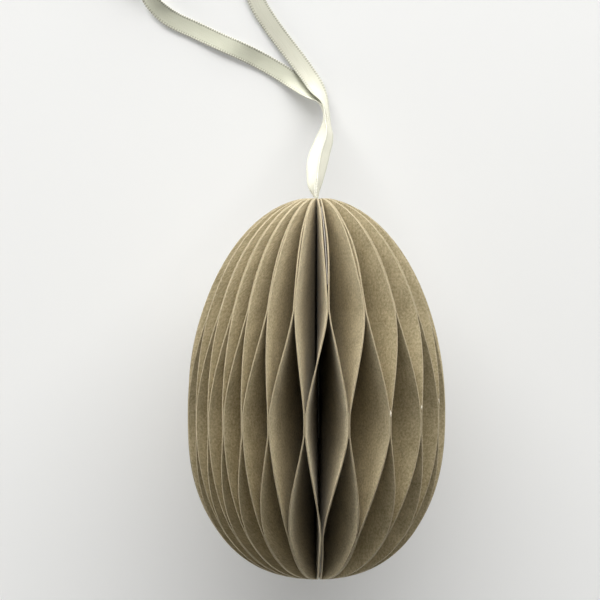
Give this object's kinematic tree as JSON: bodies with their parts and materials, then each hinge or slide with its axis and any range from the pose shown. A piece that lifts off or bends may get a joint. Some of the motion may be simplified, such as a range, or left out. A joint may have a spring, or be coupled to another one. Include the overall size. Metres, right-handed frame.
{
  "type": "folding paper honeycomb egg ornament",
  "caption": "Egg-shaped honeycomb ornament of card sheets glued in turn, opened round into a fan of diamond cells, with a satin ribbon loop.",
  "frame": {"origin": "on the floor under the middle of the egg's length, below its axis", "axes": "+Z up; +Y along the egg's axis towards the narrow end and its ribbon; +X to the right seen from above with +Y up"},
  "size_m": [0.0587, 0.1329, 0.0441],
  "materials": {
    "card": "matte recycled card, fine fibrous grain",
    "tape": "matte double-sided tape",
    "ribbon": "satin weave with picot edges"
  },
  "bodies": {
    "leaf_00": {"sheet_01": "card"},
    "leaf_01": {"sheet_02": "card"},
    "leaf_02": {"sheet_03": "card"},
    "leaf_03": {"sheet_04": "card"},
    "leaf_04": {"sheet_05": "card"},
    "leaf_05": {"sheet_06": "card"},
    "leaf_06": {"sheet_07": "card"},
    "leaf_07": {"sheet_08": "card"},
    "leaf_08": {"sheet_09": "card"},
    "leaf_09": {"sheet_10": "card"},
    "leaf_10": {"sheet_11": "card"},
    "leaf_11": {"sheet_12": "card"},
    "leaf_12": {"sheet_13": "card"},
    "leaf_13": {"sheet_14": "card"},
    "leaf_14": {"sheet_15": "card"},
    "leaf_15": {"sheet_16": "card"},
    "leaf_16": {"sheet_17": "card"},
    "leaf_17": {"sheet_18": "card"},
    "leaf_18": {"sheet_19": "card"},
    "leaf_19": {"sheet_20": "card"},
    "leaf_20": {"sheet_21": "card"},
    "leaf_21": {"sheet_22": "card"},
    "leaf_22": {"sheet_23": "card"},
    "leaf_23": {"sheet_24": "card"},
    "leaf_24": {"ribbon_tail": "ribbon", "ribbon_loop": "ribbon"},
    "leaf_25": {"sheet_25": "card"},
    "leaf_26": {"sheet_26": "card"},
    "leaf_27": {"sheet_27": "card"},
    "leaf_28": {"sheet_28": "card"},
    "leaf_29": {"sheet_29": "card"},
    "leaf_30": {"sheet_30": "card"},
    "leaf_31": {"sheet_31": "card"},
    "leaf_32": {"sheet_32": "card"},
    "leaf_33": {"sheet_33": "card"},
    "leaf_34": {"sheet_34": "card"},
    "leaf_35": {"sheet_35": "card"},
    "leaf_36": {"sheet_36": "card"},
    "leaf_37": {"sheet_37": "card"},
    "leaf_38": {"sheet_38": "card"},
    "leaf_39": {"sheet_39": "card"},
    "leaf_40": {"sheet_40": "card"},
    "leaf_41": {"sheet_41": "card"},
    "leaf_42": {"sheet_42": "card"},
    "leaf_43": {"sheet_43": "card"},
    "leaf_44": {"sheet_44": "card"},
    "leaf_45": {"sheet_45": "card"},
    "leaf_46": {"sheet_46": "card"},
    "leaf_47": {"sheet_47": "card"},
    "leaf_48": {"sheet_48": "card", "closing_tape_narrow": "tape", "closing_tape_blunt": "tape"}
  },
  "joints": [
    {"name": "fold_01", "type": "hinge", "parent": "leaf_01", "child": "leaf_00", "pos_m": [0.00067, 0, 0.02408], "axis": [0, 1, 0], "range_deg": [0, 8.72], "deforming": ["sheet_01"]},
    {"name": "fold_02", "type": "hinge", "parent": "leaf_02", "child": "leaf_01", "pos_m": [0.00093, 0, 0.02402], "axis": [0, 1, 0], "range_deg": [0, 8.97], "deforming": ["sheet_02"]},
    {"name": "fold_03", "type": "hinge", "parent": "leaf_03", "child": "leaf_02", "pos_m": [0.00117, 0, 0.02391], "axis": [0, 1, 0], "range_deg": [0, 8.99], "deforming": ["sheet_03"]},
    {"name": "fold_04", "type": "hinge", "parent": "leaf_04", "child": "leaf_03", "pos_m": [0.00138, 0, 0.02377], "axis": [0, 1, 0], "range_deg": [0, 8.81], "deforming": ["sheet_04"]},
    {"name": "fold_05", "type": "hinge", "parent": "leaf_05", "child": "leaf_04", "pos_m": [0.00157, 0, 0.02359], "axis": [0, 1, 0], "range_deg": [0, 8.45], "deforming": ["sheet_05"]},
    {"name": "fold_06", "type": "hinge", "parent": "leaf_06", "child": "leaf_05", "pos_m": [0.00173, 0, 0.02339], "axis": [0, 1, 0], "range_deg": [0, 7.99], "deforming": ["sheet_06"]},
    {"name": "fold_07", "type": "hinge", "parent": "leaf_07", "child": "leaf_06", "pos_m": [0.00186, 0, 0.02316], "axis": [0, 1, 0], "range_deg": [0, 7.47], "deforming": ["sheet_07"]},
    {"name": "fold_08", "type": "hinge", "parent": "leaf_08", "child": "leaf_07", "pos_m": [0.00195, 0, 0.02291], "axis": [0, 1, 0], "range_deg": [0, 6.97], "deforming": ["sheet_08"]},
    {"name": "fold_09", "type": "hinge", "parent": "leaf_09", "child": "leaf_08", "pos_m": [0.00201, 0, 0.02266], "axis": [0, 1, 0], "range_deg": [0, 6.54], "deforming": ["sheet_09"]},
    {"name": "fold_10", "type": "hinge", "parent": "leaf_10", "child": "leaf_09", "pos_m": [0.00203, 0, 0.0224], "axis": [0, 1, 0], "range_deg": [0, 6.22], "deforming": ["sheet_10"]},
    {"name": "fold_11", "type": "hinge", "parent": "leaf_11", "child": "leaf_10", "pos_m": [0.00202, 0, 0.02214], "axis": [0, 1, 0], "range_deg": [0, 6.02], "deforming": ["sheet_11"]},
    {"name": "fold_12", "type": "hinge", "parent": "leaf_12", "child": "leaf_11", "pos_m": [0.00199, 0, 0.02188], "axis": [0, 1, 0], "range_deg": [0, 5.93], "deforming": ["sheet_12"]},
    {"name": "fold_13", "type": "hinge", "parent": "leaf_13", "child": "leaf_12", "pos_m": [0.00192, 0, 0.02163], "axis": [0, 1, 0], "range_deg": [0, 5.94], "deforming": ["sheet_13"]},
    {"name": "fold_14", "type": "hinge", "parent": "leaf_14", "child": "leaf_13", "pos_m": [0.00182, 0, 0.02139], "axis": [0, 1, 0], "range_deg": [0, 6.01], "deforming": ["sheet_14"]},
    {"name": "fold_15", "type": "hinge", "parent": "leaf_15", "child": "leaf_14", "pos_m": [0.0017, 0, 0.02116], "axis": [0, 1, 0], "range_deg": [0, 6.09], "deforming": ["sheet_15"]},
    {"name": "fold_16", "type": "hinge", "parent": "leaf_16", "child": "leaf_15", "pos_m": [0.00155, 0, 0.02095], "axis": [0, 1, 0], "range_deg": [0, 6.16], "deforming": ["sheet_16"]},
    {"name": "fold_17", "type": "hinge", "parent": "leaf_17", "child": "leaf_16", "pos_m": [0.00138, 0, 0.02075], "axis": [0, 1, 0], "range_deg": [0, 6.17], "deforming": ["sheet_17"]},
    {"name": "fold_18", "type": "hinge", "parent": "leaf_18", "child": "leaf_17", "pos_m": [0.00118, 0, 0.02058], "axis": [0, 1, 0], "range_deg": [0, 6.13], "deforming": ["sheet_18"]},
    {"name": "fold_19", "type": "hinge", "parent": "leaf_19", "child": "leaf_18", "pos_m": [0.00097, 0, 0.02043], "axis": [0, 1, 0], "range_deg": [0, 6.04], "deforming": ["sheet_19"]},
    {"name": "fold_20", "type": "hinge", "parent": "leaf_20", "child": "leaf_19", "pos_m": [0.00074, 0, 0.02031], "axis": [0, 1, 0], "range_deg": [0, 5.92], "deforming": ["sheet_20"]},
    {"name": "fold_21", "type": "hinge", "parent": "leaf_21", "child": "leaf_20", "pos_m": [0.00049, 0, 0.02022], "axis": [0, 1, 0], "range_deg": [0, 5.8], "deforming": ["sheet_21"]},
    {"name": "fold_22", "type": "hinge", "parent": "leaf_22", "child": "leaf_21", "pos_m": [0.00024, 0, 0.02015], "axis": [0, 1, 0], "range_deg": [0, 5.73], "deforming": ["sheet_22"]},
    {"name": "fold_23", "type": "hinge", "parent": "leaf_23", "child": "leaf_22", "pos_m": [-0.00001, 0, 0.02012], "axis": [0, 1, 0], "range_deg": [0, 5.74], "deforming": ["sheet_23"]},
    {"name": "fold_24", "type": "hinge", "parent": "leaf_24", "child": "leaf_23", "pos_m": [-0.00027, 0, 0.02011], "axis": [0, 1, 0], "range_deg": [0, 5.87], "deforming": ["sheet_24"]},
    {"name": "fold_25", "type": "hinge", "parent": "leaf_24", "child": "leaf_25", "pos_m": [-0.00053, 0, 0.02013], "axis": [0, 1, 0], "range_deg": [-5.93, 0], "deforming": ["sheet_25"]},
    {"name": "fold_26", "type": "hinge", "parent": "leaf_25", "child": "leaf_26", "pos_m": [-0.00079, 0, 0.02018], "axis": [0, 1, 0], "range_deg": [-6.48, 0], "deforming": ["sheet_26"]},
    {"name": "fold_27", "type": "hinge", "parent": "leaf_26", "child": "leaf_27", "pos_m": [-0.00103, 0, 0.02027], "axis": [0, 1, 0], "range_deg": [-6.93, 0], "deforming": ["sheet_27"]},
    {"name": "fold_28", "type": "hinge", "parent": "leaf_27", "child": "leaf_28", "pos_m": [-0.00127, 0, 0.02038], "axis": [0, 1, 0], "range_deg": [-7.42, 0], "deforming": ["sheet_28"]},
    {"name": "fold_29", "type": "hinge", "parent": "leaf_28", "child": "leaf_29", "pos_m": [-0.00148, 0, 0.02053], "axis": [0, 1, 0], "range_deg": [-7.89, 0], "deforming": ["sheet_29"]},
    {"name": "fold_30", "type": "hinge", "parent": "leaf_29", "child": "leaf_30", "pos_m": [-0.00167, 0, 0.02071], "axis": [0, 1, 0], "range_deg": [-8.27, 0], "deforming": ["sheet_30"]},
    {"name": "fold_31", "type": "hinge", "parent": "leaf_30", "child": "leaf_31", "pos_m": [-0.00182, 0, 0.02092], "axis": [0, 1, 0], "range_deg": [-8.51, 0], "deforming": ["sheet_31"]},
    {"name": "fold_32", "type": "hinge", "parent": "leaf_31", "child": "leaf_32", "pos_m": [-0.00194, 0, 0.02115], "axis": [0, 1, 0], "range_deg": [-8.57, 0], "deforming": ["sheet_32"]},
    {"name": "fold_33", "type": "hinge", "parent": "leaf_32", "child": "leaf_33", "pos_m": [-0.00202, 0, 0.02139], "axis": [0, 1, 0], "range_deg": [-8.41, 0], "deforming": ["sheet_33"]},
    {"name": "fold_34", "type": "hinge", "parent": "leaf_33", "child": "leaf_34", "pos_m": [-0.00206, 0, 0.02165], "axis": [0, 1, 0], "range_deg": [-8.04, 0], "deforming": ["sheet_34"]},
    {"name": "fold_35", "type": "hinge", "parent": "leaf_34", "child": "leaf_35", "pos_m": [-0.00206, 0, 0.02191], "axis": [0, 1, 0], "range_deg": [-7.49, 0], "deforming": ["sheet_35"]},
    {"name": "fold_36", "type": "hinge", "parent": "leaf_35", "child": "leaf_36", "pos_m": [-0.00202, 0, 0.02217], "axis": [0, 1, 0], "range_deg": [-6.82, 0], "deforming": ["sheet_36"]},
    {"name": "fold_37", "type": "hinge", "parent": "leaf_36", "child": "leaf_37", "pos_m": [-0.00194, 0, 0.02241], "axis": [0, 1, 0], "range_deg": [-6.11, 0], "deforming": ["sheet_37"]},
    {"name": "fold_38", "type": "hinge", "parent": "leaf_37", "child": "leaf_38", "pos_m": [-0.00184, 0, 0.02265], "axis": [0, 1, 0], "range_deg": [-5.43, 0], "deforming": ["sheet_38"]},
    {"name": "fold_39", "type": "hinge", "parent": "leaf_38", "child": "leaf_39", "pos_m": [-0.00171, 0, 0.02288], "axis": [0, 1, 0], "range_deg": [-4.87, 0], "deforming": ["sheet_39"]},
    {"name": "fold_40", "type": "hinge", "parent": "leaf_39", "child": "leaf_40", "pos_m": [-0.00157, 0, 0.02309], "axis": [0, 1, 0], "range_deg": [-4.5, 0], "deforming": ["sheet_40"]},
    {"name": "fold_41", "type": "hinge", "parent": "leaf_40", "child": "leaf_41", "pos_m": [-0.0014, 0, 0.02329], "axis": [0, 1, 0], "range_deg": [-4.37, 0], "deforming": ["sheet_41"]},
    {"name": "fold_42", "type": "hinge", "parent": "leaf_41", "child": "leaf_42", "pos_m": [-0.00122, 0, 0.02348], "axis": [0, 1, 0], "range_deg": [-4.49, 0], "deforming": ["sheet_42"]},
    {"name": "fold_43", "type": "hinge", "parent": "leaf_42", "child": "leaf_43", "pos_m": [-0.00102, 0, 0.02364], "axis": [0, 1, 0], "range_deg": [-4.85, 0], "deforming": ["sheet_43"]},
    {"name": "fold_44", "type": "hinge", "parent": "leaf_43", "child": "leaf_44", "pos_m": [-0.00081, 0, 0.02379], "axis": [0, 1, 0], "range_deg": [-5.42, 0], "deforming": ["sheet_44"]},
    {"name": "fold_45", "type": "hinge", "parent": "leaf_44", "child": "leaf_45", "pos_m": [-0.00058, 0, 0.02392], "axis": [0, 1, 0], "range_deg": [-6.13, 0], "deforming": ["sheet_45"]},
    {"name": "fold_46", "type": "hinge", "parent": "leaf_45", "child": "leaf_46", "pos_m": [-0.00034, 0, 0.02402], "axis": [0, 1, 0], "range_deg": [-6.9, 0], "deforming": ["sheet_46"]},
    {"name": "fold_47", "type": "hinge", "parent": "leaf_46", "child": "leaf_47", "pos_m": [-0.00008, 0, 0.02408], "axis": [0, 1, 0], "range_deg": [-7.63, 0], "deforming": ["sheet_47"]},
    {"name": "fold_48", "type": "hinge", "parent": "leaf_47", "child": "leaf_48", "pos_m": [0.00017, 0, 0.02411], "axis": [0, 1, 0], "range_deg": [-8.26, 0], "deforming": ["sheet_48"]}
  ],
  "couplings": [
    {"joint": "fold_01", "follows": "fold_25", "ratio": -1.4268},
    {"joint": "fold_02", "follows": "fold_25", "ratio": -1.4673},
    {"joint": "fold_03", "follows": "fold_25", "ratio": -1.4712},
    {"joint": "fold_04", "follows": "fold_25", "ratio": -1.441},
    {"joint": "fold_05", "follows": "fold_25", "ratio": -1.383},
    {"joint": "fold_06", "follows": "fold_25", "ratio": -1.3066},
    {"joint": "fold_07", "follows": "fold_25", "ratio": -1.2223},
    {"joint": "fold_08", "follows": "fold_25", "ratio": -1.1406},
    {"joint": "fold_09", "follows": "fold_25", "ratio": -1.0702},
    {"joint": "fold_10", "follows": "fold_25", "ratio": -1.0171},
    {"joint": "fold_11", "follows": "fold_25", "ratio": -0.98407},
    {"joint": "fold_12", "follows": "fold_25", "ratio": -0.97013},
    {"joint": "fold_13", "follows": "fold_25", "ratio": -0.97153},
    {"joint": "fold_14", "follows": "fold_25", "ratio": -0.98244},
    {"joint": "fold_15", "follows": "fold_25", "ratio": -0.99628},
    {"joint": "fold_16", "follows": "fold_25", "ratio": -1.0069},
    {"joint": "fold_17", "follows": "fold_25", "ratio": -1.01},
    {"joint": "fold_18", "follows": "fold_25", "ratio": -1.0036},
    {"joint": "fold_19", "follows": "fold_25", "ratio": -0.98858},
    {"joint": "fold_20", "follows": "fold_25", "ratio": -0.96868},
    {"joint": "fold_21", "follows": "fold_25", "ratio": -0.94951},
    {"joint": "fold_22", "follows": "fold_25", "ratio": -0.93769},
    {"joint": "fold_23", "follows": "fold_25", "ratio": -0.93948},
    {"joint": "fold_24", "follows": "fold_25", "ratio": -0.95958},
    {"joint": "fold_26", "follows": "fold_25", "ratio": 1.0594},
    {"joint": "fold_27", "follows": "fold_25", "ratio": 1.1332},
    {"joint": "fold_28", "follows": "fold_25", "ratio": 1.2134},
    {"joint": "fold_29", "follows": "fold_25", "ratio": 1.2903},
    {"joint": "fold_30", "follows": "fold_25", "ratio": 1.3534},
    {"joint": "fold_31", "follows": "fold_25", "ratio": 1.3928},
    {"joint": "fold_32", "follows": "fold_25", "ratio": 1.4014},
    {"joint": "fold_33", "follows": "fold_25", "ratio": 1.3753},
    {"joint": "fold_34", "follows": "fold_25", "ratio": 1.3149},
    {"joint": "fold_35", "follows": "fold_25", "ratio": 1.2256},
    {"joint": "fold_36", "follows": "fold_25", "ratio": 1.1164},
    {"joint": "fold_37", "follows": "fold_25", "ratio": 0.9995},
    {"joint": "fold_38", "follows": "fold_25", "ratio": 0.88862},
    {"joint": "fold_39", "follows": "fold_25", "ratio": 0.79716},
    {"joint": "fold_40", "follows": "fold_25", "ratio": 0.73652},
    {"joint": "fold_41", "follows": "fold_25", "ratio": 0.7145},
    {"joint": "fold_42", "follows": "fold_25", "ratio": 0.73431},
    {"joint": "fold_43", "follows": "fold_25", "ratio": 0.79409},
    {"joint": "fold_44", "follows": "fold_25", "ratio": 0.88716},
    {"joint": "fold_45", "follows": "fold_25", "ratio": 1.0029},
    {"joint": "fold_46", "follows": "fold_25", "ratio": 1.128},
    {"joint": "fold_47", "follows": "fold_25", "ratio": 1.2487},
    {"joint": "fold_48", "follows": "fold_25", "ratio": 1.3517}
  ]
}
